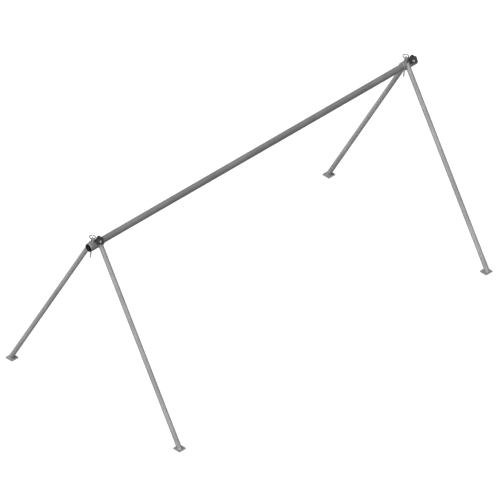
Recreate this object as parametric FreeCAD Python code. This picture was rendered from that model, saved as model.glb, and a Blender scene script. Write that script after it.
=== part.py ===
import FreeCAD, Part
import math
import os

from FreeCAD import Placement, Rotation, Vector

# A portable rack: one crossbar on two A-frames of round tube.
# Millimetres. X runs along the crossbar, Z is up, and the origin is on the floor under the middle.
# The near end is at -X and the far end at +X. The front side is -Y and the back side is +Y.

# Crossbar
PAIR_SPACING = 2438.0
BAR_HEIGHT = 1075.0
BAR_OD = 38.0
BAR_WALL = 2.6

# Collars, two side by side at each end of the crossbar
COLLAR_OD = 51.0
COLLAR_LENGTH = 49.8
COLLAR_GAP = 0.4
COLLAR_RUNNING_FIT = 0.08
COLLAR_EDGE = 0.8

# Legs
LEG_OD = 28.0
LEG_WALL = 2.0
LEG_LEAN = 30.0
LEG_BITE = 22.2
LEG_TOP_RISE = 20.0
LEG_PLUG_DEPTH = 16.0
OUTER_LEG_SHIFT = 7.5
INNER_LEG_SHIFT = 3.0

# Foot plates
FOOT_WIDTH = 52.0
FOOT_THICKNESS = 6.0
FOOT_CORNER = 3.0
FOOT_SHIFT = 4.0
FOOT_INSET = 5.0

# End caps of the crossbar
CAP_FLANGE_OD = 46.6
CAP_FLANGE_THICKNESS = 3.0
CAP_SPIGOT_LENGTH = 14.0
CAP_WALL = 2.4
CAP_SPIGOT_FIT = 0.05
CAP_RECESS_CLEARANCE = 0.4

# Lock pin with its bush, head and pull ring
PIN_OD = 8.0
PIN_TILT = 8.0
PIN_FIT = 0.1
PIN_TAIL = 56.0
PIN_TIP_CHAMFER = 1.5
PIN_IN_HEAD = 12.0
BUSH_OD = 21.0
BUSH_RISE = 4.0
BUSH_EDGE = 0.8
HEAD_SEAT_GAP = 0.3
HEAD_FLANGE_OD = 21.0
HEAD_FLANGE_THICKNESS = 4.0
HEAD_OD = 18.0
HEAD_LENGTH = 30.2
HEAD_EDGE = 1.6
TONGUE_THICKNESS = 10.0
TONGUE_LENGTH = 15.0
RING_HOLE_BELOW_TOP = 7.0
RING_HOLE_FIT = 1.3
RING_TURN = 50.0
RING_OD = 36.4
RING_WIRE = 4.4

# Clamp knob with its stud and threaded boss
KNOB_LIFT = 54.0
KNOB_INSET = 1.4
KNOB_OD = 52.0
KNOB_THICKNESS = 21.5
KNOB_LOBES = 5
KNOB_SCALLOP_RADIUS = 8.0
KNOB_SCALLOP_DEPTH = 4.6
KNOB_EDGE = 1.8
KNOB_GAP = 0.7
KNOB_BORE_FIT = 0.06
STUD_OD = 10.0
STUD_FIT = 0.1
STUD_IN_KNOB = 14.0
STUD_TIP_GAP = 0.3
STUD_TIP_CHAMFER = 1.0
CLAMP_BOSS_OD = 16.0
KNOB_LEG_CLEARANCE = 0.9

# Sizes that follow from those above
BAR_RADIUS = BAR_OD / 2
COLLAR_RADIUS = COLLAR_OD / 2
COLLAR_BORE_RADIUS = BAR_RADIUS + COLLAR_RUNNING_FIT
COLLAR_OFFSET = (COLLAR_LENGTH + COLLAR_GAP) / 2
OUTER_FACE = PAIR_SPACING / 2 + COLLAR_GAP / 2 + COLLAR_LENGTH
BAR_HALF_LENGTH = OUTER_FACE - CAP_FLANGE_THICKNESS
LEAN = math.radians(LEG_LEAN)
LEG_DISTANCE = COLLAR_RADIUS + LEG_OD / 2 - LEG_BITE
LEG_OFFSET = LEG_DISTANCE / math.cos(LEAN)
BUSH_TOP = COLLAR_RADIUS + BUSH_RISE
HEAD_SEAT = BUSH_TOP + HEAD_SEAT_GAP
HEAD_TOP = HEAD_SEAT + HEAD_LENGTH
RING_HOLE_HEIGHT = HEAD_TOP - RING_HOLE_BELOW_TOP
RING_RADIUS = (RING_OD - RING_WIRE) / 2
KNOB_TILT = 90.0 - KNOB_LIFT
LEG_TOP_REACH = LEG_OFFSET - LEG_TOP_RISE * math.tan(LEAN) + LEG_OD / 2 / math.cos(LEAN)
LEG_TOP_HEIGHT = LEG_TOP_REACH * math.sin(math.radians(KNOB_TILT)) + LEG_TOP_RISE * math.cos(math.radians(KNOB_TILT))
KNOB_SEAT = LEG_TOP_HEIGHT + KNOB_LEG_CLEARANCE
CLAMP_BOSS_TOP = KNOB_SEAT - KNOB_GAP
KNOB_OFFSET = COLLAR_GAP / 2 + KNOB_INSET + CLAMP_BOSS_OD / 2

UP = Vector(0, 0, 1)
ALONG = Vector(1, 0, 0)
FRONT = -1
BACK = 1

# How far a leg stands from the middle of its collar towards its neighbour
LEG_SHIFTS = {"outer": OUTER_LEG_SHIFT, "inner": INNER_LEG_SHIFT}

# One entry per end: its side of the middle, and which way its pinned and clamped legs lean
ENDS = {
    "near": {"side": -1, "pinned": "outer", "pinned_leans": BACK, "clamped": "inner", "clamped_leans": FRONT},
    "far": {"side": 1, "pinned": "inner", "pinned_leans": FRONT, "clamped": "outer", "clamped_leans": BACK},
}


# Helpers

def rod(radius, start, length, direction):
    return Part.makeCylinder(radius, length, start, direction)


def from_bar(shape, x, tilt, turn=0.0):
    """Puts a shape made on the Z axis on a radius of the crossbar, turned about Z and tilted to the front."""
    placed = shape.copy()
    rotation = Rotation(ALONG, tilt).multiply(Rotation(UP, turn))
    placed.Placement = Placement(Vector(x, 0, BAR_HEIGHT), rotation).multiply(shape.Placement)
    return placed


def bar_cylinder(radius, x, length):
    return rod(radius, Vector(x - length / 2, 0, BAR_HEIGHT), length, ALONG)


def round_edges_at(shape, size, wanted):
    edges = [edge for edge in shape.Edges if wanted(edge)]
    return shape.makeFillet(size, edges)


def is_circle_at(edge, height):
    return isinstance(edge.Curve, Part.Circle) and abs(edge.Curve.Center.z - height) < 0.001


def write(shape, name):
    shape.exportStep("parts/" + name + ".step")
    print(name, "solids", len(shape.Solids), "volume", round(shape.Volume, 1), "valid", shape.isValid())


# Holes that pieces on one radius share

def pin_bore(x):
    length = HEAD_TOP + COLLAR_RADIUS + PIN_TAIL
    return from_bar(rod(PIN_OD / 2 + PIN_FIT, Vector(0, 0, -length / 2), length, UP), x, PIN_TILT)


def stud_bore(x):
    return from_bar(rod(STUD_OD / 2 + STUD_FIT, Vector(0, 0, 0), KNOB_SEAT, UP), x, KNOB_TILT)


# Crossbar and its end caps

def crossbar(pin_places):
    outside = bar_cylinder(BAR_RADIUS, 0, 2 * BAR_HALF_LENGTH)
    bar = outside.cut(bar_cylinder(BAR_RADIUS - BAR_WALL, 0, 2 * BAR_HALF_LENGTH))
    for x in pin_places:
        bar = bar.cut(pin_bore(x))
    return bar


def end_cap(side):
    start = Vector(side * BAR_HALF_LENGTH, 0, BAR_HEIGHT)
    outward = ALONG * side
    spigot_radius = BAR_RADIUS - BAR_WALL - CAP_SPIGOT_FIT
    flange = rod(CAP_FLANGE_OD / 2, start, CAP_FLANGE_THICKNESS, outward)
    spigot = rod(spigot_radius, start, CAP_SPIGOT_LENGTH, outward * -1)
    hollow = rod(spigot_radius - CAP_WALL, start, CAP_SPIGOT_LENGTH, outward * -1)
    return flange.fuse(spigot.cut(hollow)).removeSplitter()


# Collars

def collar(x, recess_side):
    body = bar_cylinder(COLLAR_RADIUS, x, COLLAR_LENGTH)
    body = body.makeChamfer(COLLAR_EDGE, [edge for edge in body.Edges if isinstance(edge.Curve, Part.Circle)])
    body = body.cut(bar_cylinder(COLLAR_BORE_RADIUS, x, COLLAR_LENGTH))
    if recess_side:
        radius = CAP_FLANGE_OD / 2 + CAP_RECESS_CLEARANCE
        depth = CAP_FLANGE_THICKNESS + CAP_RECESS_CLEARANCE
        face = x + recess_side * COLLAR_LENGTH / 2
        start = Vector(face, 0, BAR_HEIGHT)
        body = body.cut(rod(radius, start, depth, ALONG * -recess_side))
    return body


def pin_bush(x):
    blank = rod(BUSH_OD / 2, Vector(0, 0, 0), BUSH_TOP, UP)
    blank = round_edges_at(blank, BUSH_EDGE, lambda edge: is_circle_at(edge, BUSH_TOP))
    return from_bar(blank, x, PIN_TILT).cut(bar_cylinder(COLLAR_RADIUS, x, COLLAR_LENGTH)).cut(pin_bore(x))


def clamp_boss(x):
    blank = rod(CLAMP_BOSS_OD / 2, Vector(0, 0, 0), CLAMP_BOSS_TOP, UP)
    blank = round_edges_at(blank, BUSH_EDGE, lambda edge: is_circle_at(edge, CLAMP_BOSS_TOP))
    return from_bar(blank, x, KNOB_TILT)


# Legs and feet

def leg_rod(radius, x, leans):
    down = Vector(0, leans * math.sin(LEAN), -math.cos(LEAN))
    above = (LEG_TOP_RISE + LEG_OD) / math.cos(LEAN)
    below = (BAR_HEIGHT + LEG_OD) / math.cos(LEAN)
    start = Vector(x, leans * LEG_OFFSET, BAR_HEIGHT) - down * above
    return rod(radius, start, above + below, down)


def slab(bottom, top):
    reach = BAR_HEIGHT + PAIR_SPACING
    return Part.makeBox(2 * reach, 2 * reach, top - bottom, Vector(-reach, -reach, bottom))


def leg(x, leans, fittings):
    tube = leg_rod(LEG_OD / 2, x, leans).cut(leg_rod(LEG_OD / 2 - LEG_WALL, x, leans))
    tube = tube.common(slab(FOOT_THICKNESS, BAR_HEIGHT + LEG_TOP_RISE))
    return largest(tube.cut(bar_cylinder(COLLAR_RADIUS, x, COLLAR_LENGTH)).cut(fittings))


def leg_plug(x, leans, fittings):
    top = BAR_HEIGHT + LEG_TOP_RISE
    plug = leg_rod(LEG_OD / 2 - LEG_WALL, x, leans).common(slab(top - LEG_PLUG_DEPTH, top))
    return largest(plug.cut(bar_cylinder(COLLAR_RADIUS, x, COLLAR_LENGTH)).cut(fittings))


def largest(shape):
    return max(shape.Solids, key=lambda solid: solid.Volume)


def foot(x, leans):
    y = leans * (LEG_OFFSET + (BAR_HEIGHT - FOOT_THICKNESS) * math.tan(LEAN) - FOOT_INSET)
    corner = Vector(x - FOOT_WIDTH / 2, y - FOOT_WIDTH / 2, 0)
    plate = Part.makeBox(FOOT_WIDTH, FOOT_WIDTH, FOOT_THICKNESS, corner)
    return round_edges_at(plate, FOOT_CORNER, lambda edge: abs(edge.tangentAt(edge.FirstParameter).z) > 0.5)


# Lock pin

def pin_shaft(x):
    length = COLLAR_RADIUS + PIN_TAIL + HEAD_SEAT + PIN_IN_HEAD
    tip = -(COLLAR_RADIUS + PIN_TAIL)
    shaft = rod(PIN_OD / 2, Vector(0, 0, tip), length, UP)
    shaft = shaft.makeChamfer(PIN_TIP_CHAMFER, [edge for edge in shaft.Edges if is_circle_at(edge, tip)])
    return from_bar(shaft, x, PIN_TILT)


def pin_head(x):
    stem = rod(HEAD_OD / 2, Vector(0, 0, HEAD_SEAT), HEAD_LENGTH, UP)
    stem = round_edges_at(stem, HEAD_EDGE, lambda edge: is_circle_at(edge, HEAD_TOP))
    tongue_start = HEAD_TOP - TONGUE_LENGTH
    for side in (FRONT, BACK):
        y = TONGUE_THICKNESS / 2 if side == BACK else -TONGUE_THICKNESS / 2 - HEAD_OD
        stem = stem.cut(Part.makeBox(2 * HEAD_OD, HEAD_OD, HEAD_LENGTH, Vector(-HEAD_OD, y, tongue_start)))
    flange = rod(HEAD_FLANGE_OD / 2, Vector(0, 0, HEAD_SEAT), HEAD_FLANGE_THICKNESS, UP)
    flange = round_edges_at(flange, BUSH_EDGE, lambda edge: isinstance(edge.Curve, Part.Circle))
    head = stem.fuse(flange).removeSplitter()
    head = head.cut(rod(PIN_OD / 2, Vector(0, 0, 0), HEAD_SEAT + PIN_IN_HEAD, UP))
    hole_radius = RING_WIRE / 2 + RING_HOLE_FIT
    hole = rod(hole_radius, Vector(0, -HEAD_OD, RING_HOLE_HEIGHT), 2 * HEAD_OD, Vector(0, 1, 0))
    return from_bar(head.cut(hole), x, PIN_TILT, RING_TURN)


def pull_ring(x):
    ring = Part.makeTorus(RING_RADIUS, RING_WIRE / 2, Vector(RING_RADIUS, 0, RING_HOLE_HEIGHT), UP)
    return from_bar(ring, x, PIN_TILT, RING_TURN)


# Clamp knob

def knob(x):
    radius = KNOB_OD / 2
    grip = rod(radius, Vector(0, 0, KNOB_SEAT), KNOB_THICKNESS, UP)
    centre_distance = radius + KNOB_SCALLOP_RADIUS - KNOB_SCALLOP_DEPTH
    for lobe in range(KNOB_LOBES):
        angle = 2 * math.pi * (lobe + 0.5) / KNOB_LOBES
        centre = Vector(centre_distance * math.cos(angle), centre_distance * math.sin(angle), KNOB_SEAT)
        grip = grip.cut(rod(KNOB_SCALLOP_RADIUS, centre, KNOB_THICKNESS, UP))
    rims = (KNOB_SEAT, KNOB_SEAT + KNOB_THICKNESS)
    grip = round_edges_at(grip, KNOB_EDGE, lambda edge: any(is_circle_at(edge, rim) for rim in rims))
    bore = rod(STUD_OD / 2 + KNOB_BORE_FIT, Vector(0, 0, 0), KNOB_SEAT + STUD_IN_KNOB + STUD_TIP_GAP, UP)
    return from_bar(grip.cut(bore), x, KNOB_TILT)


def knob_stud(x):
    tip = BAR_RADIUS + STUD_TIP_GAP
    top = KNOB_SEAT + STUD_IN_KNOB
    stud = rod(STUD_OD / 2, Vector(0, 0, tip), top - tip, UP)
    stud = stud.makeChamfer(STUD_TIP_CHAMFER, [edge for edge in stud.Edges if is_circle_at(edge, tip)])
    return from_bar(stud, x, KNOB_TILT)


# Assembly

def write_end(name, end):
    middle = end["side"] * PAIR_SPACING / 2
    pinned_x = middle - COLLAR_OFFSET
    clamped_x = middle + COLLAR_OFFSET
    pinned_leg_x = pinned_x + LEG_SHIFTS[end["pinned"]]
    clamped_leg_x = clamped_x - LEG_SHIFTS[end["clamped"]]
    foot_shift = -end["side"] * FOOT_SHIFT
    knob_x = middle + KNOB_OFFSET
    pinned = name + "_" + end["pinned"]
    clamped = name + "_" + end["clamped"]
    pinned_recess = end["side"] if end["pinned"] == "outer" else 0
    clamped_recess = end["side"] if end["clamped"] == "outer" else 0

    bush = pin_bush(pinned_x)
    write(collar(pinned_x, pinned_recess).cut(pin_bore(pinned_x)), pinned + "_collar")
    write(bush, name + "_pin_bush")
    write(leg(pinned_leg_x, end["pinned_leans"], bush), pinned + "_leg")
    write(leg_plug(pinned_leg_x, end["pinned_leans"], bush), pinned + "_leg_plug")
    write(foot(pinned_leg_x + foot_shift, end["pinned_leans"]), pinned + "_foot")

    boss = clamp_boss(knob_x)
    boss_ring = boss.cut(bar_cylinder(COLLAR_RADIUS, clamped_x, COLLAR_LENGTH)).cut(stud_bore(knob_x))
    write(collar(clamped_x, clamped_recess).cut(stud_bore(knob_x)), clamped + "_collar")
    write(boss_ring, name + "_clamp_boss")
    write(leg(clamped_leg_x, end["clamped_leans"], boss), clamped + "_leg")
    write(leg_plug(clamped_leg_x, end["clamped_leans"], boss), clamped + "_leg_plug")
    write(foot(clamped_leg_x + foot_shift, end["clamped_leans"]), clamped + "_foot")

    write(end_cap(end["side"]), name + "_end_cap")
    write(pin_shaft(pinned_x), name + "_pin_shaft")
    write(pin_head(pinned_x), name + "_pin_head")
    write(pull_ring(pinned_x), name + "_pull_ring")
    write(knob(knob_x), name + "_knob")
    write(knob_stud(knob_x), name + "_knob_stud")


def main():
    os.makedirs("parts", exist_ok=True)
    pin_places = [end["side"] * PAIR_SPACING / 2 - COLLAR_OFFSET for end in ENDS.values()]
    write(crossbar(pin_places), "crossbar")
    for name, end in ENDS.items():
        write_end(name, end)


main()
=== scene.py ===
# %% [markdown]
# # A portable rack, dressed for its picture
# The rack is a high round crossbar on two A-frames of tube. Its exact shape comes from a packed CAD model,
# which is loaded here as a fixed frame. This notebook adds what CAD leaves out: weld beads, moulded plastic,
# the wound pull rings, and the finish of each surface. Metres, Z up, X along the crossbar.

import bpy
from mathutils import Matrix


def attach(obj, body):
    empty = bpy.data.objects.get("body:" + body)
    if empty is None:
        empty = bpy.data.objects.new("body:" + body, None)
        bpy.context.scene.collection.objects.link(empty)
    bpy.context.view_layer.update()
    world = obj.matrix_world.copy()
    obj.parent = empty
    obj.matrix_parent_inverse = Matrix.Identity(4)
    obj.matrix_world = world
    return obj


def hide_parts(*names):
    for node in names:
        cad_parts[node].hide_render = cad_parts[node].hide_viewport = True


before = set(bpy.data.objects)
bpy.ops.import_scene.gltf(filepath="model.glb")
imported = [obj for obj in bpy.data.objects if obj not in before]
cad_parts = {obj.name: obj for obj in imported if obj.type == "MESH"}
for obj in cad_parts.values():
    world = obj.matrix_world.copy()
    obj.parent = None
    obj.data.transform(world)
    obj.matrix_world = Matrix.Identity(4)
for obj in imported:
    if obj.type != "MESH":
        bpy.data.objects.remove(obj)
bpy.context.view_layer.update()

# %% [markdown]
# The new pieces have to meet the CAD ones, so they repeat its sizes. Those that several cells need are
# written once, here, and the others stand beside the piece that needs them. The rack has a near end at -X
# and a far end at +X. At each end one leg is pinned to the crossbar, and the other is clamped by a knob and
# can be folded.

# %% Shared sizes
import math

import numpy as np
from mathutils import Vector

BAR_HEIGHT = 1.075
HALF_SPACING = 1.219
COLLAR_RADIUS = 0.0255
COLLAR_LENGTH = 0.0498
COLLAR_OFFSET = 0.0251
LEG_RADIUS = 0.014
LEG_DISTANCE = 0.0173
LEG_SHIFTS = {"outer": 0.0075, "inner": 0.003}
KNOB_OFFSET = 0.0096
LEAN = math.radians(30)
PIN_TILT = math.radians(8)
KNOB_TILT = math.radians(36)

ALONG = Vector((1, 0, 0))
PIN_AXIS = Vector((0, -math.sin(PIN_TILT), math.cos(PIN_TILT)))
KNOB_AXIS = Vector((0, -math.sin(KNOB_TILT), math.cos(KNOB_TILT)))
PAIR_MIDDLE = {"near": -HALF_SPACING, "far": HALF_SPACING}
PINNED = {"near": "near_outer", "far": "far_inner"}
CLAMPED = {"near": "near_inner", "far": "far_outer"}
FRONT = -1
BACK = 1
LEANS = {"near_outer": BACK, "near_inner": FRONT, "far_inner": FRONT, "far_outer": BACK}
print("the legs lean", round(math.degrees(LEAN)), "degrees, and the knobs", round(math.degrees(KNOB_TILT)))

# %% [markdown]
# The picture is an isometric one: no perspective, and all three axes drawn at the same scale. In Blender
# that is an orthographic camera that looks down by 35.26 degrees, from halfway between two axes. Its place
# on the line of sight doesn't matter, so only the point in the middle of the picture has to be found.

# %% Camera
import bpy

VIEW_WIDTH = 2.751
LOOKS_FROM = Vector((-1, -1, 1)).normalized()
RIGHT = Vector((1, -1, 0)).normalized()
UPWARD = LOOKS_FROM.cross(RIGHT)
BAR_RIGHT_OF_MIDDLE = 0.0089
BAR_ABOVE_MIDDLE = 0.5288
CAMERA_DISTANCE = 8.0

picture_middle = Vector((0, 0, BAR_HEIGHT)) - RIGHT * BAR_RIGHT_OF_MIDDLE - UPWARD * BAR_ABOVE_MIDDLE
camera = bpy.data.objects.new("camera", bpy.data.cameras.new("camera"))
camera.data.type = "ORTHO"
camera.data.ortho_scale = VIEW_WIDTH
camera.location = picture_middle + LOOKS_FROM * CAMERA_DISTANCE
camera.rotation_mode = "QUATERNION"
camera.rotation_quaternion = (-LOOKS_FROM).to_track_quat("-Z", "Y")
bpy.context.scene.collection.objects.link(camera)
bpy.context.scene.camera = camera
print("the camera looks down by", round(math.degrees(math.asin(LOOKS_FROM.z)), 2), "degrees")

# %% [markdown]
# A finish could be drawn as boxes and threads in Blender's shader editor. As sums it is shorter, and a
# change of one number shows. This class holds one output of a node. Adding, subtracting or multiplying it
# makes the Math node that does so, and `node` makes any other node.

# %% Sums of shader values
class Wire:
    """One output socket in a material. Sums on it add Math nodes."""

    def __init__(self, tree, output=None):
        self.tree = tree
        self.output = output

    def node(self, kind, settings=None, inputs=None, output=0):
        """Adds a node: its settings first, then the values or links of its sockets."""
        made = self.tree.nodes.new(kind)
        for name, value in (settings or {}).items():
            setattr(made, name, value)
        for name, value in (inputs or {}).items():
            if isinstance(value, Wire):
                self.tree.links.new(value.output, made.inputs[name])
            else:
                made.inputs[name].default_value = value
        return Wire(self.tree, made.outputs[output]) if len(made.outputs) else made

    def math(self, operation, *values):
        inputs = dict(enumerate((self,) + values))
        return self.node("ShaderNodeMath", {"operation": operation}, inputs)

    def __add__(self, other):
        return self.math("ADD", other)

    def __sub__(self, other):
        return self.math("SUBTRACT", other)

    def __rsub__(self, other):
        return self.node("ShaderNodeMath", {"operation": "SUBTRACT"}, {0: other, 1: self})

    def __mul__(self, other):
        return self.math("MULTIPLY", other)

    __radd__ = __add__
    __rmul__ = __mul__

    def larger(self, other):
        return self.math("MAXIMUM", other)

    def size(self):
        return self.math("ABSOLUTE")

    def between(self, low, high):
        """0 below low, 1 above high, and a smooth rise in between."""
        settings = {"interpolation_type": "SMOOTHSTEP"}
        inputs = {"Value": self, "From Min": low, "From Max": high}
        return self.node("ShaderNodeMapRange", settings, inputs)

    def paint(self, low, high):
        """Mixes two colours by this mask."""
        return self.node("ShaderNodeMix", {"data_type": "RGBA"}, {0: self, 6: low, 7: high}, output=2)

    def part(self, axis):
        return self.node("ShaderNodeSeparateXYZ", None, {0: self}, output="XYZ".index(axis))

    def distance(self, point):
        settings = {"operation": "DISTANCE"}
        return self.node("ShaderNodeVectorMath", settings, {0: self, 1: point}, output="Value")

    def along(self, direction):
        settings = {"operation": "DOT_PRODUCT"}
        return self.node("ShaderNodeVectorMath", settings, {0: self, 1: direction}, output="Value")

    def stretched(self, scales, turn=0.0):
        """The same place in other units per axis, after a turn about X."""
        inputs = {"Vector": self, "Rotation": (turn, 0, 0), "Scale": scales}
        return self.node("ShaderNodeMapping", {"vector_type": "POINT"}, inputs)

    def noise(self, scale, detail=3.0, roughness=0.55):
        """Clouds with this many waves in a metre. Detail adds finer waves."""
        inputs = {"Vector": self, "Scale": scale, "Detail": detail, "Roughness": roughness}
        return self.node("ShaderNodeTexNoise", {"noise_dimensions": "3D"}, inputs)

    def noise_on_line(self, scale, detail):
        """The same on one number instead of a place."""
        inputs = {"W": self, "Scale": scale, "Detail": detail}
        return self.node("ShaderNodeTexNoise", {"noise_dimensions": "1D"}, inputs)


def grey(value, warmth=0.0):
    """A grey, or a slightly warm one."""
    return (value * (1 + warmth), value, value * (1 - warmth), 1)


print("a wire can do:", [name for name in vars(Wire) if not name.startswith("_")])

# %% [markdown]
# Every material starts with the place on the object in metres. That place moves with the body, because every
# object here keeps its origin at the rack's origin. A material ends in one Principled BSDF. Its marks are a
# tenth of a millimetre deep, so they go into a Bump node and not into the mesh.

# %% Start and end of a material
def start(name):
    material = bpy.data.materials.new(name)
    material.use_nodes = True
    material.node_tree.nodes.clear()
    place = Wire(material.node_tree).node("ShaderNodeTexCoord", output="Object")
    return material, place


def end(material, colour, roughness, metallic, height, relief, specular=0.5):
    """Joins the masks to the shader. Relief is the depth of the height map in metres."""
    wire = Wire(material.node_tree)
    normal = wire.node("ShaderNodeBump", None, {"Strength": 1.0, "Distance": relief, "Height": height})
    shader = wire.node("ShaderNodeBsdfPrincipled", None, {
        "Base Color": colour,
        "Roughness": roughness,
        "Metallic": metallic,
        "Normal": normal,
        "Specular IOR Level": specular,
    })
    wire.node("ShaderNodeOutputMaterial", None, {"Surface": shader})
    return material


def near_ends(wire, axes, width):
    """1 at the ends of a piece's own box along these axes, 0 further in. Width is a share of the box."""
    share = wire.node("ShaderNodeTexCoord", output="Generated")
    masks = [(share.part(axis) - 0.5).size().between(0.5 - size, 0.5) for axis, size in zip(axes, width)]
    mask = masks[0]
    for other in masks[1:]:
        mask = mask.larger(other)
    return mask


print("helpers for materials:", start.__name__, end.__name__, near_ends.__name__)

# %% [markdown]
# ## The coated tubes
# The crossbar and the legs are drawn steel tube under one matt grey powder coat. The crossbar's copy of the
# coat is painted darker: a painted shade for the shade the crossbar is in. Close up such a coat has a fine
# orange peel, a little cloudiness, dust near the ground, and dull scuffs that run along the tube, where it
# slid into a van. The scuffs could be painted by hand on an unwrapped tube. Noise stretched along the tube
# does the same with no seam, and it only needs to know which way each tube runs. The coat is set to reflect
# little at a low angle, because the tubes in the picture stay dark right up to their edges.

# %% Coated tube
COAT = 0.345
# The crossbar's tone is lower than the legs': painted shade on the same coat.
BAR_SHADE_TONE = 0.195
TUBE_MOTTLE = 0.10
COAT_GLOSS = 0.10
COAT_RELIEF = 0.00012
COAT_METAL = 0.15
TUBE_CLOUDS = 7.0
TUBE_PEEL = 1400.0
SCUFF_PATCHES = 16.0
DUST_PATCHES = 60.0
DUST_FROM, DUST_TO = 0.02, 0.16
SCUFFED = 0.62
DUSTY = 0.72
BAR_LINES = (3.0, 900.0, 900.0)
LEG_LINES = (900.0, 900.0, 3.0)


def coated_tube(name, tone, turn, stretch):
    """Stretch is how many waves the scuffs have in a metre along each axis, after the turn about X."""
    material, place = start(name)
    cloud = place.noise(TUBE_CLOUDS, 4.0)
    peel = place.noise(TUBE_PEEL, 2.0)
    lines = place.stretched(stretch, turn).noise(1.0, 3.0, 0.6)
    scuff = lines.between(0.60, 0.68) * place.noise(SCUFF_PATCHES, 2.0).between(0.50, 0.62)
    ground = 1 - place.part("Z").between(DUST_FROM, DUST_TO)
    dust = ground * place.noise(DUST_PATCHES, 4.0).between(0.40, 0.62)
    coat = cloud.between(0.3, 0.7).paint(grey(tone * (1 - TUBE_MOTTLE)), grey(tone * (1 + TUBE_MOTTLE)))
    coat = (scuff * 0.55).paint(coat, grey(tone * SCUFFED))
    coat = (dust * 0.5).paint(coat, grey(tone * DUSTY, 0.04))
    rough = 0.44 + 0.10 * cloud + 0.16 * scuff + 0.18 * dust
    height = 0.5 * peel + 0.5 * lines - 0.8 * scuff
    return end(material, coat, rough, COAT_METAL, height, COAT_RELIEF, COAT_GLOSS)


shaded_bar_coat = coated_tube("crossbar_coat_in_painted_shade", BAR_SHADE_TONE, 0.0, BAR_LINES)
leg_coats = {lean: coated_tube("coat_on_" + name + "_legs", COAT, -lean * LEAN, LEG_LINES)
             for lean, name in ((FRONT, "front"), (BACK, "back"))}
print("tube finishes:", [shaded_bar_coat.name] + [m.name for m in leg_coats.values()])

# %% [markdown]
# ## Collars, foot plates and the plugs of the legs
# These are cut from thicker steel and get the same coat. The coat wears first where two collars rub side by
# side and at the rims of the plates. A Bevel node would find every sharp edge, but it is slow and grainy.
# The mask here is 1 near the ends of a piece's own box, where these edges are, and lets bare, smoother metal
# through. Noise breaks the rim up, or it would look like a painted line.

# %% Coated solid steel
COLLAR_TONE = 0.22
FOOT_TONE = 0.24
WORN = 0.32
BLOCK_CLOUDS = 22.0
BLOCK_PEEL = 1300.0
RIM_BREAKS = 240.0
NICKS = 150.0
NICKED = 0.55


def coated_block(name, tone, axes, rims, lines):
    """Rims are the worn shares of the piece's box along the axes. Lines are waves in a metre per axis."""
    material, place = start(name)
    cloud = place.noise(BLOCK_CLOUDS, 4.0)
    peel = place.noise(BLOCK_PEEL, 2.0)
    marks = place.stretched(lines).noise(1.0, 3.0, 0.6)
    rim = near_ends(place, axes, rims)
    worn = (rim * (0.35 + 1.3 * place.noise(RIM_BREAKS, 3.0))).between(0.45, 0.85)
    nick = place.noise(NICKS, 2.0).between(0.66, 0.70)
    coat = cloud.between(0.3, 0.7).paint(grey(tone * 0.88), grey(tone * 1.06))
    coat = (nick * 0.7).paint(coat, grey(tone * NICKED))
    coat = (worn * 0.8).paint(coat, grey(WORN))
    rough = 0.46 + 0.12 * cloud - 0.16 * worn
    metal = COAT_METAL + 0.7 * worn
    height = 0.5 * peel + 0.3 * marks - 0.6 * nick - 0.5 * worn
    return end(material, coat, rough, metal, height, COAT_RELIEF, COAT_GLOSS)


collar_coat = coated_block("coat_on_collars", COLLAR_TONE, "X", (0.05,), (700.0, 60.0, 60.0))
foot_coat = coated_block("coat_on_foot_plates", FOOT_TONE, "XY", (0.035, 0.035), (200.0, 200.0, 200.0))
plug_coat = coated_block("coat_on_leg_plugs", COAT, "XY", (0.06, 0.06), (500.0, 90.0, 90.0))
print("block finishes:", collar_coat.name, foot_coat.name, plug_coat.name)

# %% [markdown]
# ## Turned steel
# The bushes, bosses, pins and studs come off a lathe. Most are zinc plated, and the wire of the pull rings
# is blackened. The bosses sit under the knobs and are painted near black: a painted shade for the shade
# there. A lathe leaves fine rings round the axis. A wave texture would space them evenly, which looks like a
# thread, so
# the height map is noise on one number: how far along the axis a point is.

# %% Turned steel
PLATED = 0.24
STUD_TONE = 0.36
# The bosses' near-black tone is painted shade under the knobs.
BOSS_SHADE_TONE = 0.05
WIRE_TONE = 0.03
TURNING_RINGS = 2600.0
DRAWING_RINGS = 900.0
TURNING_BANDS = 220.0
STEEL_CLOUDS = 90.0
FINGER_MARKS = 320.0
HANDLED = 0.65
STEEL_METAL = 0.9
STEEL_RELIEF = 0.00008


def turned_steel(name, axis, tone, rings_in_a_metre=TURNING_RINGS):
    material, place = start(name)
    height_along = place.along(axis)
    rings = height_along.noise_on_line(rings_in_a_metre, 2.0)
    bands = height_along.noise_on_line(TURNING_BANDS, 1.0)
    cloud = place.noise(STEEL_CLOUDS, 4.0)
    handled = place.noise(FINGER_MARKS, 3.0).between(0.52, 0.66)
    steel = cloud.between(0.3, 0.7).paint(grey(tone * 0.85), grey(tone * 1.12))
    steel = (handled * 0.35).paint(steel, grey(tone * HANDLED, 0.02))
    rough = 0.30 + 0.12 * cloud + 0.12 * handled + 0.06 * bands
    height = 0.7 * rings + 0.3 * bands - 0.3 * handled
    return end(material, steel, rough, STEEL_METAL, height, STEEL_RELIEF)


pin_steel = turned_steel("plated_lock_pins", PIN_AXIS, PLATED)
stud_steel = turned_steel("plated_knob_studs", KNOB_AXIS, STUD_TONE)
# The bosses get a near-black tone: painted shade under the knobs.
shaded_boss_steel = turned_steel("boss_steel_in_painted_shade", KNOB_AXIS, BOSS_SHADE_TONE)
wire_steel = turned_steel("blackened_ring_wire", ALONG, WIRE_TONE, DRAWING_RINGS)
print("turned finishes:", pin_steel.name, stud_steel.name, shaded_boss_steel.name, wire_steel.name)
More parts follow.
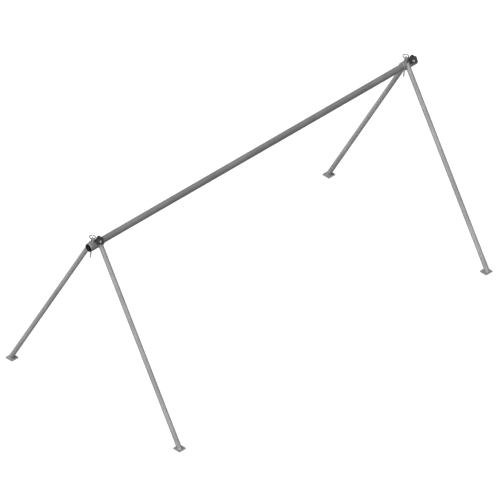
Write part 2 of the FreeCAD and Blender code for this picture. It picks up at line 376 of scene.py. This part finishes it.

# %% [markdown]
# ## Moulded plastic
# The end caps and the clamp knobs are moulded in black and dark grey plastic. A spark-eroded mould leaves a
# fine even grain, and hands polish the knob's highest parts, so the grain is noise and the polish a soft
# mask. Low on each knob's face a light round spot is painted in: a painted highlight for the glint there. A
# separate disc would have to be let into the face, so it is a mask on the distance from one point.

# %% Moulded plastic
KNOB_TONE = 0.028
KNOB_GLOSS = 0.2
KNOB_GRAIN = 1900.0
CAP_TONE = 0.003
CAP_GLOSS = 0.06
CAP_GRAIN = 1500.0
PLASTIC_CLOUDS = 70.0
PLASTIC_SCRATCHES = (2200.0, 240.0, 240.0)
PLASTIC_RELIEF = 0.00010
KNOB_FACE = 0.0530
GLINT_EDGE = 0.0004
GLINT_OUT = 0.0128
GLINT_TURN = math.radians(119)
GLINT_RADIUS = 0.0068
PAINTED_GLINT_TONE = 0.42


def painted_knob_glints(place):
    """1 inside the painted highlight, a light round spot low on each knob's face."""
    across = ALONG.cross(KNOB_AXIS)
    mask = None
    for middle in PAIR_MIDDLE.values():
        spot = Vector((middle + KNOB_OFFSET, 0, BAR_HEIGHT)) + KNOB_AXIS * KNOB_FACE
        spot += (ALONG * math.cos(GLINT_TURN) + across * math.sin(GLINT_TURN)) * GLINT_OUT
        inside = 1 - place.distance(spot).between(GLINT_RADIUS - GLINT_EDGE, GLINT_RADIUS)
        mask = inside if mask is None else mask.larger(inside)
    return mask


def moulded_plastic(name, tone, grain, specular, marks=None):
    material, place = start(name)
    pebble = place.noise(grain, 2.0, 0.5)
    cloud = place.noise(PLASTIC_CLOUDS, 3.0)
    polish = cloud.between(0.48, 0.64)
    scratch = place.stretched(PLASTIC_SCRATCHES).noise(1.0, 2.0).between(0.66, 0.70)
    plastic = cloud.between(0.3, 0.7).paint(grey(tone * 0.8), grey(tone * 1.25))
    plastic = (scratch * 0.5).paint(plastic, grey(tone * 2.4))
    rough = 0.52 - 0.16 * polish + 0.1 * pebble + 0.1 * scratch
    height = pebble * (1 - 0.6 * polish) - 0.5 * scratch
    # The light spot laid in here is a painted highlight, and the bump raises it a little.
    if marks:
        painted_glint = marks(place)
        plastic = (painted_glint * (1 - 0.5 * scratch)).paint(plastic, grey(PAINTED_GLINT_TONE))
        height = height + 2.0 * painted_glint
    return end(material, plastic, rough, 0.0, height, PLASTIC_RELIEF, specular)


knob_plastic = moulded_plastic("moulded_knobs", KNOB_TONE, KNOB_GRAIN, KNOB_GLOSS, painted_knob_glints)
cap_plastic = moulded_plastic("moulded_end_caps", CAP_TONE, CAP_GRAIN, CAP_GLOSS)
print("plastics:", knob_plastic.name, cap_plastic.name)

# %% [markdown]
# ## Which node gets which finish
# Most CAD nodes keep their mesh and only need a finish. It could be given to them one by one, but each kind
# of piece comes two or four times. So a table says which ending of a node's name gets which finish.

# %% Dressing the nodes
FINISH_BY_ENDING = {
    "_collar": collar_coat,
    "_foot": foot_coat,
    "_leg_plug": plug_coat,
    "_pin_bush": pin_steel,
    "_clamp_boss": shaded_boss_steel,
    "_pin_shaft": pin_steel,
    "_pin_head": pin_steel,
    "_knob_stud": stud_steel,
}


def dress(node, material):
    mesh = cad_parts[node].data
    mesh.materials.clear()
    mesh.materials.append(material)


finish_of = {"crossbar": shaded_bar_coat}
finish_of.update({leg + "_leg": leg_coats[lean] for leg, lean in LEANS.items()})
for ending, material in FINISH_BY_ENDING.items():
    finish_of.update({node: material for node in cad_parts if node.endswith(ending)})
for node, material in finish_of.items():
    dress(node, material)
print("nodes dressed:", len(finish_of), "of", len(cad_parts))

# %% [markdown]
# ## Making a piece from points
# The welds, the knob, the cap and the ring could be cut out of ready-made solids. Each of them follows a
# rule, though, so they are worked out point by point, which gives clean rows of faces. One helper turns
# points and faces into an object, shades it smooth, gives it a finish and lets it ride on its body.

# %% From points to a riding piece
import bmesh


def face_outward(mesh):
    """Turns every face of a closed mesh so that its front is outside."""
    edited = bmesh.new()
    edited.from_mesh(mesh)
    bmesh.ops.recalc_face_normals(edited, faces=edited.faces)
    edited.to_mesh(mesh)
    edited.free()


def make_piece(name, points, faces, body, material):
    mesh = bpy.data.meshes.new(name)
    mesh.from_pydata([tuple(p) for p in points], [], faces)
    mesh.validate()
    face_outward(mesh)
    mesh.polygons.foreach_set("use_smooth", [True] * len(mesh.polygons))
    mesh.materials.append(material)
    piece = bpy.data.objects.new(name, mesh)
    bpy.context.scene.collection.objects.link(piece)
    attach(piece, body)
    return piece


def grid_faces(rows, columns, closed_rows):
    """Quads between rings of points. The columns always close, and the rows close if asked."""
    faces = []
    for row in range(rows if closed_rows else rows - 1):
        below = (row + 1) % rows
        for column in range(columns):
            beside = (column + 1) % columns
            faces.append((row * columns + column, row * columns + beside,
                          below * columns + beside, below * columns + column))
    return faces


def end_faces(rows, columns):
    """The two faces that close an open row of rings."""
    last = (rows - 1) * columns
    return [tuple(range(columns - 1, -1, -1)), tuple(range(last, last + columns))]


OFF_EVERY_PATH = (0.31, 0.87, 0.38)


def swept(path, radii, sides, closed):
    """Points and faces of a round rod along a path. An open one ends in a flat cap at each end."""
    path = np.asarray(path, float)
    count = len(path)
    if closed:
        tangents = np.roll(path, -1, 0) - np.roll(path, 1, 0)
    else:
        tangents = np.gradient(path, axis=0)
    tangents /= np.linalg.norm(tangents, axis=1)[:, None]
    first = np.cross(tangents[0], OFF_EVERY_PATH)
    first /= np.linalg.norm(first)
    angles = np.linspace(0, 2 * math.pi, sides, endpoint=False)
    points = []
    for spot, tangent, radius in zip(path, tangents, radii):
        first = first - tangent * first.dot(tangent)
        first /= np.linalg.norm(first)
        second = np.cross(tangent, first)
        points += [spot + radius * (math.cos(a) * first + math.sin(a) * second) for a in angles]
    faces = grid_faces(count, sides, closed)
    if not closed:
        faces += end_faces(count, sides)
    return points, faces


print("a row of three rings of four points has", len(grid_faces(3, 4, False)), "faces and two ends")

# %% [markdown]
# ## Weld beads
# A welder lays a row of overlapping drops round each joint. A bump on the tubes would vanish at their edges,
# so the beads are real. A bead follows the line where two surfaces meet, so its path is worked out from the
# cylinders, and the drops are a ripple in its thickness. Each leg has one bead on its collar and one on its
# foot plate, and each bush and boss has a thin one on its collar.

# %% Weld bead along a path
DROP_LENGTH = 0.0032
POINTS_PER_DROP = 6
DROP_DEPTH = 0.16
DROP_BLUNTNESS = 0.6
SLOW_WANDER = 0.06
QUICK_WANDER = 0.04
BEAD_SIDES = 12
BEAD_TAPER = 3.0
BEAD_TIP = 0.15

weld_coat = coated_block("coat_on_welds", COLLAR_TONE, "X", (0.001,), (400.0, 400.0, 400.0))


def evenly(path, step):
    """The same path with points at even distances."""
    path = np.asarray(path, float)
    lengths = np.concatenate([[0], np.cumsum(np.linalg.norm(np.diff(path, axis=0), axis=1))])
    count = max(8, int(round(lengths[-1] / step)))
    wanted = np.linspace(0, lengths[-1], count)
    return np.stack([np.interp(wanted, lengths, path[:, axis]) for axis in range(3)], axis=1)


def bead(name, path, radius, body, closed):
    if closed:
        path = np.vstack([path, path[:1]])
    path = evenly(path, DROP_LENGTH / POINTS_PER_DROP)
    if closed:
        path = path[:-1]
    drops = np.arange(len(path)) / POINTS_PER_DROP
    ripple = np.abs(np.sin(drops * math.pi)) ** DROP_BLUNTNESS
    wander = SLOW_WANDER * np.sin(drops * 1.7) + QUICK_WANDER * np.sin(drops * 4.3 + 1.0)
    radii = radius * (1 - DROP_DEPTH + DROP_DEPTH * ripple + wander)
    if not closed:
        from_end = np.minimum(np.arange(len(path)), np.arange(len(path))[::-1])
        radii = radii * np.sqrt(np.clip(from_end / BEAD_TAPER, BEAD_TIP, 1.0))
    points, faces = swept(path, radii, BEAD_SIDES, closed)
    return make_piece(name, points, faces, body, weld_coat)


print("a bead has a point every", round(1000 * DROP_LENGTH / POINTS_PER_DROP, 2), "mm")

# %% [markdown]
# A leg's tube runs into the collar's side. The seam starts at the leg's top, goes down one side of the tube,
# round below it and up the other side. At the foot the tube is cut by a level plate, so that seam is an
# ellipse.

# %% Beads of the legs
LEG_TOP = BAR_HEIGHT + 0.020
FOOT_TOP = 0.006
LEG_BEAD = 0.0021
SEAM_POINTS = 121
FOOT_SEAM_POINTS = 120


def leg_line(x, lean):
    """A point on the leg's axis level with the crossbar, its direction down, and the sideways direction."""
    down = np.array((0, lean * math.sin(LEAN), -math.cos(LEAN)))
    outward = np.array((0, lean * math.cos(LEAN), math.sin(LEAN)))
    middle = np.array((x, 0, BAR_HEIGHT)) + outward * LEG_DISTANCE
    return middle, down, outward


def collar_seam(x, lean):
    """Where the leg's tube meets the collar, from the leg's top round below it and up again."""
    middle, down, outward = leg_line(x, lean)
    turning = math.asin((COLLAR_RADIUS - LEG_DISTANCE) / LEG_RADIUS)
    angles = np.linspace(turning, -math.pi - turning, SEAM_POINTS)
    lower, upper = [], []
    for angle in angles:
        side = np.array(ALONG) * math.cos(angle) + outward * math.sin(angle)
        away = LEG_DISTANCE + LEG_RADIUS * math.sin(angle)
        reach = math.sqrt(max(0.0, COLLAR_RADIUS ** 2 - away ** 2))
        base = middle + side * LEG_RADIUS
        lower.append(base + down * reach)
        upper.append(base - down * reach)
    half = SEAM_POINTS // 2 + 1
    first_side = [p for p in upper[:half] if p[2] < LEG_TOP]
    second_side = [p for p in upper[half:] if p[2] < LEG_TOP]
    return np.array(first_side[::-1] + lower + second_side[::-1])


def foot_seam(x, lean):
    middle, down, outward = leg_line(x, lean)
    path = []
    for angle in np.linspace(0, 2 * math.pi, FOOT_SEAM_POINTS, endpoint=False):
        base = middle + LEG_RADIUS * (np.array(ALONG) * math.cos(angle) + outward * math.sin(angle))
        path.append(base + down * (base[2] - FOOT_TOP) / math.cos(LEAN))
    return np.array(path)


def leg_offset(leg):
    """How far a leg stands from the middle of its pair of legs."""
    return COLLAR_OFFSET - LEG_SHIFTS[leg.split("_")[1]]


def leg_beads(leg, x, body):
    bead(leg + "_collar_weld", collar_seam(x, LEANS[leg]), LEG_BEAD, body, False)
    made = bead(leg + "_foot_weld", foot_seam(x, LEANS[leg]), LEG_BEAD, body, True)
    print(leg, "foot weld has", len(made.data.vertices), "points")


for name, middle in PAIR_MIDDLE.items():
    leg_beads(PINNED[name], middle - leg_offset(PINNED[name]), "frame")
    leg_beads(CLAMPED[name], middle + leg_offset(CLAMPED[name]), name + "_swing_leg")

# %% [markdown]
# A bush or a boss is a small round tube that stands on the collar. Its seam is a ring that rises and falls
# with the collar's curve.

# %% Beads of the bushes and bosses
BUSH_RADIUS = 0.0105
BOSS_RADIUS = 0.0080
BUSH_BEAD = 0.0012
BOSS_BEAD = 0.0008
ROUND_SEAM_POINTS = 96


def round_seam(x, axis, radius):
    """Where a round boss on a radius of the crossbar meets the collar."""
    across = np.cross(ALONG, axis)
    path = []
    for angle in np.linspace(0, 2 * math.pi, ROUND_SEAM_POINTS, endpoint=False):
        side = radius * math.sin(angle)
        rise = math.sqrt(COLLAR_RADIUS ** 2 - side ** 2)
        on_bar = np.array((x + radius * math.cos(angle), 0, BAR_HEIGHT))
        path.append(on_bar + across * side + np.array(axis) * rise)
    return np.array(path)


for name, middle in PAIR_MIDDLE.items():
    bush_seam = round_seam(middle - COLLAR_OFFSET, PIN_AXIS, BUSH_RADIUS)
    bead(name + "_bush_weld", bush_seam, BUSH_BEAD, "frame", True)
    boss_seam = round_seam(middle + KNOB_OFFSET, KNOB_AXIS, BOSS_RADIUS)
    bead(name + "_boss_weld", boss_seam, BOSS_BEAD, name + "_swing_leg", True)

# %% [markdown]
# ## The clamp knobs
# A moulded knob has soft lobes for the fingers, a round dish in its face and a small hub below. A subdivided
# block could be pulled into that shape by hand. A formula keeps the lobes alike: the outline is a circle
# with five shallow waves, and the side is a list of heights. So the whole knob is one grid of points, with
# one ring of points for each height, from the dish over the rim and the hub to the end of the stud's hole.

# %% Lobed knob
KNOB_SEAT = 0.03154
KNOB_RADIUS = 0.026
KNOB_LOBES = 5
LOBE_DEPTH = 0.0046
KNOB_THICKNESS = 0.0215
BORE_RADIUS = 0.00506
BORE_DEPTH = 0.0143
HUB_RADIUS = 0.0102
HUB_HEIGHT = 0.0018
DISH_DEPTH = 0.0014
CENTRE = 0.0001
KNOB_SIDES = 160


def knob_rings():
    """Each ring as (whether it follows the lobes, inset or radius, height), from the face down and round."""
    top = KNOB_THICKNESS
    floor = top - DISH_DEPTH
    dish = [(0, CENTRE, floor), (0, 0.0080, floor), (0, 0.0086, top - 0.0012),
            (0, 0.0091, top - 0.0005), (0, 0.0098, top - 0.0001)]
    face = [(1, 0.0062, top), (1, 0.0046, top - 0.0001)]
    shoulder = [(1, 0.0036 * (1 - math.sin(t)), top - 0.0037 + 0.0036 * math.cos(t))
                for t in np.linspace(0.15, math.pi / 2, 9)]
    side = [(1, 0.0001, top - 0.0075), (1, 0.0004, 0.0052)]
    heel = [(1, 0.0005 + 0.0022 * (1 - math.cos(t)), 0.0040 - 0.0022 * math.sin(t))
            for t in np.linspace(0.1, math.pi / 2, 6)]
    hub = [(1, 0.0050, HUB_HEIGHT), (0, HUB_RADIUS + 0.0006, HUB_HEIGHT), (0, HUB_RADIUS, 0.0014),
           (0, HUB_RADIUS - 0.0002, 0.0004), (0, HUB_RADIUS - 0.0006, 0)]
    bore = [(0, BORE_RADIUS + 0.0004, 0), (0, BORE_RADIUS, 0.0004),
            (0, BORE_RADIUS, BORE_DEPTH), (0, CENTRE, BORE_DEPTH)]
    return dish + face + shoulder + side + heel + hub + bore


def knob_points(x):
    across = np.cross(ALONG, KNOB_AXIS)
    points = []
    for follows, inset, height in knob_rings():
        for angle in np.linspace(0, 2 * math.pi, KNOB_SIDES, endpoint=False):
            wave = 0.5 - 0.5 * math.cos(KNOB_LOBES * angle)
            outline = KNOB_RADIUS - LOBE_DEPTH * wave ** 1.4 - inset
            radius = outline if follows else inset
            spot = np.array((x, 0, BAR_HEIGHT)) + np.array(KNOB_AXIS) * (KNOB_SEAT + height)
            points.append(spot + radius * (math.cos(angle) * np.array(ALONG) + math.sin(angle) * across))
    return points


for name, middle in PAIR_MIDDLE.items():
    faces = grid_faces(len(knob_rings()), KNOB_SIDES, False) + end_faces(len(knob_rings()), KNOB_SIDES)
    knob = make_piece(name + "_lobed_knob", knob_points(middle + KNOB_OFFSET), faces,
                      name + "_knob_grip", knob_plastic)
    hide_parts(name + "_knob")
    print(knob.name, "has", len(knob.data.vertices), "points")

# %% [markdown]
# ## The end caps
# The crossbar's ends are closed by pushed-in plastic caps. A cap is round, so a Screw modifier could turn
# its profile. The rings of points that made the knob do it as well, with nothing left to apply. The profile
# is a list of radius and height: a shallow dome with a moulded groove outside, and a hollow spigot inside.

# %% Turned cap
CAP_FLANGE = 0.003
CAP_SEAT = HALF_SPACING + COLLAR_OFFSET + COLLAR_LENGTH / 2 - CAP_FLANGE
CAP_SIDES = 96
CAP_PROFILE = [
    (0.0002, 0.00300), (0.0075, 0.00296), (0.0145, 0.00280), (0.0160, 0.00272), (0.0163, 0.00235),
    (0.0175, 0.00232), (0.0178, 0.00262), (0.0197, 0.00250), (0.0218, 0.00222), (0.0227, 0.00185),
    (0.0232, 0.00120), (0.0233, 0.00060), (0.0231, 0.00010), (0.0228, 0.00000), (0.01635, 0.00000),
    (0.01635, -0.01320), (0.0159, -0.01400), (0.0144, -0.01400), (0.01395, -0.01360), (0.01395, 0.0),
    (0.0002, 0.00001),
]


def cap_points(side):
    points = []
    for radius, height in CAP_PROFILE:
        x = side * (CAP_SEAT + height)
        for angle in np.linspace(0, 2 * math.pi, CAP_SIDES, endpoint=False):
            points.append((x, radius * math.cos(angle) * side, BAR_HEIGHT + radius * math.sin(angle)))
    return points


for name, side in (("near", -1), ("far", 1)):
    faces = grid_faces(len(CAP_PROFILE), CAP_SIDES, False) + end_faces(len(CAP_PROFILE), CAP_SIDES)
    cap = make_piece(name + "_domed_cap", cap_points(side), faces, "frame", cap_plastic)
    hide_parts(name + "_end_cap")
    print(cap.name, "has", len(cap.data.vertices), "points")

# %% [markdown]
# ## The pull rings
# A pull ring is a split ring: two turns of flattened wire that lie on each other, so that it can be threaded
# through the pin's head. A torus would look cast. The path is a flat helix of two turns that steps from one
# layer to the other in a short stretch, and the wire is squashed along the ring's axis.

# %% Split ring
RING_HOLE = 0.053
RING_RADIUS = 0.016
RING_TURN = math.radians(50)
RING_TURNS = 2
RING_STEPS = 96
SPLIT_STEPS = 3
CLIMB = 14
WIRE_ACROSS = 0.0022
WIRE_ALONG = 0.0011
WIRE_SIDES = 14


def split_ring(name, x):
    axis = np.array(PIN_AXIS)
    level = np.cross(axis, ALONG)
    away = math.cos(RING_TURN) * np.array(ALONG) + math.sin(RING_TURN) * level
    across = np.cross(axis, away)
    centre = np.array((x, 0, BAR_HEIGHT)) + axis * RING_HOLE + away * RING_RADIUS
    count = RING_TURNS * RING_STEPS - SPLIT_STEPS
    points = []
    for step in range(count):
        turn = 2 * math.pi * step / RING_STEPS
        place = (step - (count - 1) / 2) / RING_STEPS
        lift = WIRE_ALONG * math.tanh(min(0.5, max(-0.5, place)) * CLIMB)
        taper = min(1.0, 0.55 + 0.15 * min(step, count - 1 - step))
        outward = math.cos(turn) * away + math.sin(turn) * across
        for side in np.linspace(0, 2 * math.pi, WIRE_SIDES, endpoint=False):
            wide = WIRE_ACROSS * taper * math.cos(side)
            high = WIRE_ALONG * taper * math.sin(side)
            points.append(centre + outward * (RING_RADIUS + wide) + axis * (lift + high))
    faces = grid_faces(count, WIRE_SIDES, False) + end_faces(count, WIRE_SIDES)
    ring = make_piece(name + "_split_ring", points, faces, name + "_ring", wire_steel)
    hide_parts(name + "_pull_ring")
    return ring


for name, middle in PAIR_MIDDLE.items():
    ring = split_ring(name, middle - COLLAR_OFFSET)
    print(ring.name, "has", len(ring.data.vertices), "points")

# %% [markdown]
# ## Studio
# The picture has a pure white ground and soft light from high up on the near end's side. Area lamps would
# light the near end of such a long object more than the far one. Sun lamps with a wide angle are as soft,
# and light both ends alike.

# %% Lamps
LAMPS = {
    "key": (Vector((-0.536, -0.05, 0.842)), 3.3, 60),
    "fill": (LOOKS_FROM, 0.95, 60),
}


def lamp(name, comes_from, strength, wide):
    light = bpy.data.lights.new(name, "SUN")
    light.energy = strength
    light.angle = math.radians(wide)
    holder = bpy.data.objects.new(name, light)
    holder.rotation_mode = "QUATERNION"
    holder.rotation_quaternion = (-comes_from.normalized()).to_track_quat("-Z", "Y")
    bpy.context.scene.collection.objects.link(holder)


for name, (comes_from, strength, wide) in LAMPS.items():
    lamp(name, comes_from, strength, wide)
    print(name, "strength", strength)

# %% [markdown]
# The floor is pale and matt and keeps a faint shadow. What the camera and the gloss see of the floor and the
# sky is lifted to white by Light Path, so no lamp has to be turned up for it.

# %% Floor and sky
SKY_LIGHT = 0.03
FLOOR_HALF = 40.0
FLOOR_DROP = 0.0004
FLOOR_BOUNCE = 0.12
FLOOR_GLOW = 0.80
FLOOR_SHADE = 0.35


def seen_directly(wire):
    """1 for what the camera sees, straight or in gloss or glass, and 0 for light that bounces off."""
    rays = [wire.node("ShaderNodeLightPath", output=name)
            for name in ("Is Camera Ray", "Is Glossy Ray", "Is Transmission Ray")]
    return rays[0].larger(rays[1]).larger(rays[2])


world = bpy.data.worlds.new("studio")
world.use_nodes = True
world.node_tree.nodes.clear()
bpy.context.scene.world = world
wire = Wire(world.node_tree)
brightness = SKY_LIGHT + (1 - SKY_LIGHT) * seen_directly(wire)
sky = wire.node("ShaderNodeBackground", None, {"Color": grey(1.0), "Strength": brightness})
wire.node("ShaderNodeOutputWorld", None, {"Surface": sky})

floor_paint = bpy.data.materials.new("pale_floor")
floor_paint.use_nodes = True
floor_paint.node_tree.nodes.clear()
wire = Wire(floor_paint.node_tree)
matt = wire.node("ShaderNodeBsdfDiffuse", None, {"Color": grey(FLOOR_BOUNCE)})
glow = wire.node("ShaderNodeEmission", None, {"Color": grey(1.0), "Strength": FLOOR_GLOW})
dim = wire.node("ShaderNodeBsdfDiffuse", None, {"Color": grey(FLOOR_SHADE)})
shown = wire.node("ShaderNodeAddShader", None, {0: dim, 1: glow})
mixed = wire.node("ShaderNodeMixShader", None, {0: seen_directly(wire), 1: matt, 2: shown})
wire.node("ShaderNodeOutputMaterial", None, {"Surface": mixed})

corners = [(x * FLOOR_HALF, y * FLOOR_HALF, -FLOOR_DROP) for x, y in ((-1, -1), (1, -1), (1, 1), (-1, 1))]
floor_mesh = bpy.data.meshes.new("floor")
floor_mesh.from_pydata(corners, [], [(0, 1, 2, 3)])
floor_mesh.materials.append(floor_paint)
floor = bpy.data.objects.new("floor", floor_mesh)
bpy.context.scene.collection.objects.link(floor)
bpy.context.scene.view_settings.view_transform = "Standard"
print("floor is", 2 * FLOOR_HALF, "m wide")

# %% [markdown]
